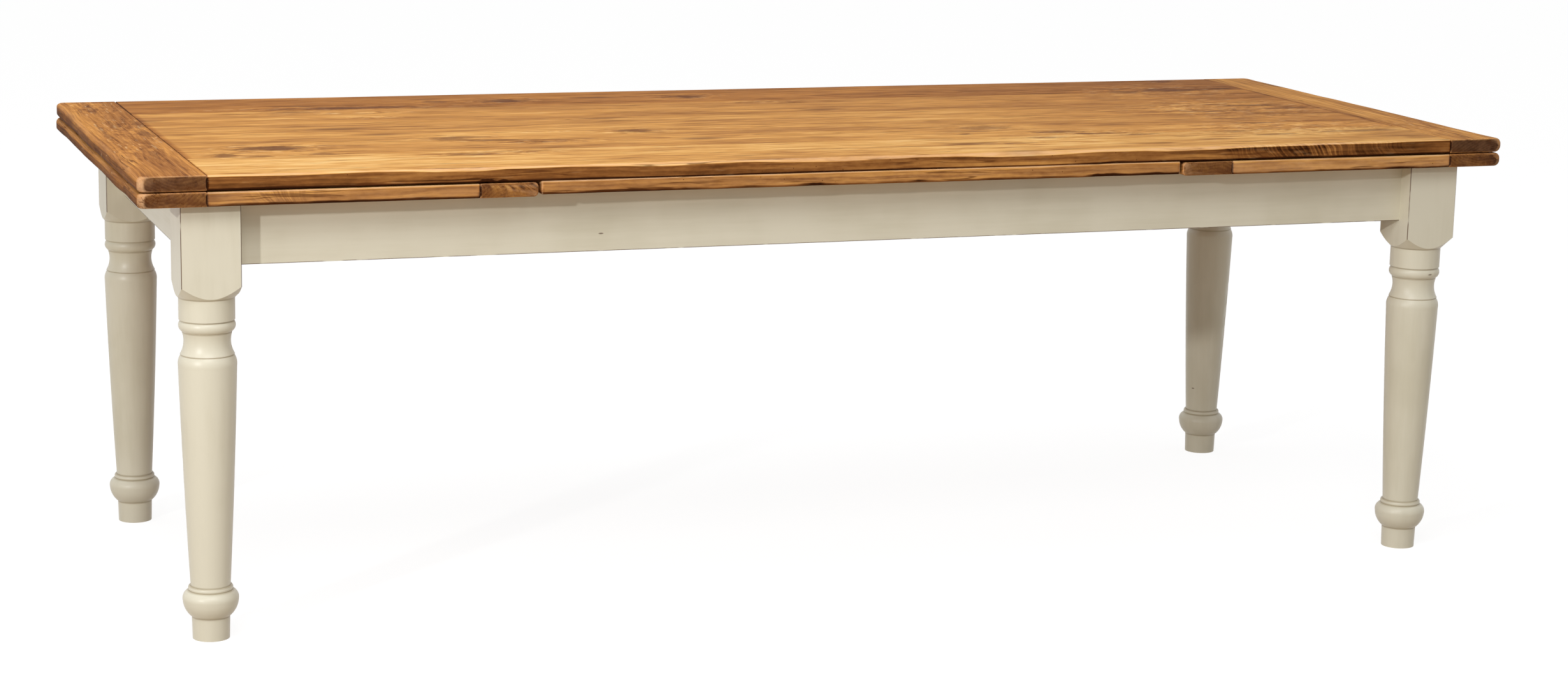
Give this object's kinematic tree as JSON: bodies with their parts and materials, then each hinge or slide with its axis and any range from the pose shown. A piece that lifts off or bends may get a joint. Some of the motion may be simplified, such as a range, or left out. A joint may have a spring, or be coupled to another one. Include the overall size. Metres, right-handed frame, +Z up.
{
  "type": "extending dining table",
  "caption": "Farmhouse draw-leaf dining table: loose plank top with end boards over two pull-out leaves on runners, painted aprons and turned legs.",
  "frame": {"origin": "on the floor under the middle of the closed table", "axes": "+X along the table towards the right end, +Y from the front long side to the back, +Z up"},
  "size_m": [2.5, 0.98, 0.785],
  "materials": {
    "plank_wood": "brushed and waxed solid softwood, honey brown, streaky grain with knots",
    "end_wood": "brushed and waxed solid softwood, darker orange brown, grain across the table",
    "painted_wood": "satin cream paint with a few rubbed edges",
    "frame_wood": "plain planed hardwood, unpainted",
    "zinc_steel": "bright zinc-plated steel"
  },
  "bodies": {
    "frame": {"leg_front_left": "painted_wood", "leg_front_right": "painted_wood", "leg_back_left": "painted_wood", "leg_back_right": "painted_wood", "apron_front": "painted_wood", "apron_back": "painted_wood", "apron_left": "painted_wood", "apron_right": "painted_wood", "corner_brace_front_left": "frame_wood", "corner_brace_front_right": "frame_wood", "corner_brace_back_left": "frame_wood", "corner_brace_back_right": "frame_wood", "bearer_left": "frame_wood", "bearer_middle": "frame_wood", "bearer_right": "frame_wood", "centre_plank_1": "plank_wood", "centre_plank_2": "plank_wood", "centre_plank_3": "plank_wood", "centre_plank_4": "plank_wood", "centre_plank_5": "plank_wood", "brace_screws": "zinc_steel", "hanger_bolts": "zinc_steel", "bolt_washers": "zinc_steel", "bolt_nuts": "zinc_steel", "centre_board_screws": "zinc_steel"},
    "top": {"top_plank_1": "plank_wood", "top_plank_2": "plank_wood", "top_plank_3": "plank_wood", "top_plank_4": "plank_wood", "top_plank_5": "plank_wood", "top_end_board_left": "end_wood", "top_end_board_right": "end_wood", "guide_peg_left": "frame_wood", "guide_peg_right": "frame_wood", "peg_retainers": "frame_wood", "retainer_screws": "zinc_steel"},
    "left_leaf": {"left_leaf_plank_1": "plank_wood", "left_leaf_plank_2": "plank_wood", "left_leaf_plank_3": "plank_wood", "left_leaf_plank_4": "plank_wood", "left_leaf_plank_5": "plank_wood", "left_leaf_end_board": "end_wood", "left_leaf_inner_batten": "end_wood", "left_leaf_runner_front": "frame_wood", "left_leaf_runner_back": "frame_wood", "left_leaf_runner_screws": "zinc_steel", "left_leaf_runner_stops": "frame_wood"},
    "right_leaf": {"right_leaf_plank_1": "plank_wood", "right_leaf_plank_2": "plank_wood", "right_leaf_plank_3": "plank_wood", "right_leaf_plank_4": "plank_wood", "right_leaf_plank_5": "plank_wood", "right_leaf_end_board": "end_wood", "right_leaf_inner_batten": "end_wood", "right_leaf_runner_front": "frame_wood", "right_leaf_runner_back": "frame_wood", "right_leaf_runner_screws": "zinc_steel", "right_leaf_runner_stops": "frame_wood"}
  },
  "joints": [
    {"name": "left_leaf_draw", "type": "slide", "parent": "frame", "child": "left_leaf", "axis": [-1, 0, 0], "range_m": [0, 0.598]},
    {"name": "right_leaf_draw", "type": "slide", "parent": "frame", "child": "right_leaf", "axis": [1, 0, 0], "range_m": [0, 0.598]},
    {"name": "top_lift", "type": "slide", "parent": "frame", "child": "top", "axis": [0, 0, 1], "range_m": [0, 0.03]}
  ]
}
